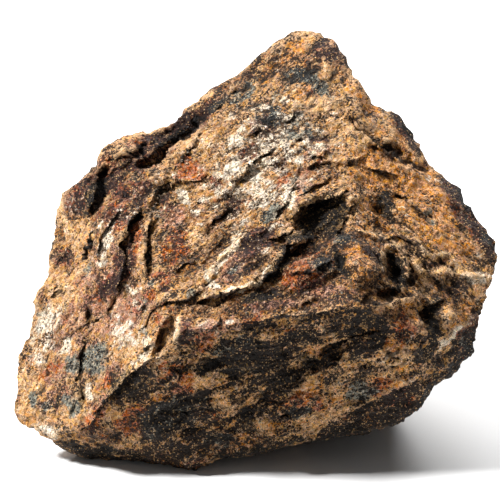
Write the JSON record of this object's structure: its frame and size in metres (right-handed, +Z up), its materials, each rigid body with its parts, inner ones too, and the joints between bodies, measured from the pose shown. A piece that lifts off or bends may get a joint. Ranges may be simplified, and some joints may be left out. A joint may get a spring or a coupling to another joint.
{
  "type": "meteorite",
  "caption": "Weathered stony meteorite, an angular hand specimen with ledges, cracks and a rust-brown crust.",
  "frame": {"origin": "middle of the stone's bounding box in X and Y, on the flat face that it rests on", "axes": "+Z up from the rest face, +X along the longest side to the right of someone facing the stone's front, which looks towards -Y"},
  "size_m": [0.1181, 0.086, 0.0934],
  "materials": {
    "stone": "matt, weathered, mottled from rust brown and ochre to slate and near black"
  },
  "bodies": {
    "root": {"meteorite": "stone"}
  },
  "joints": []
}
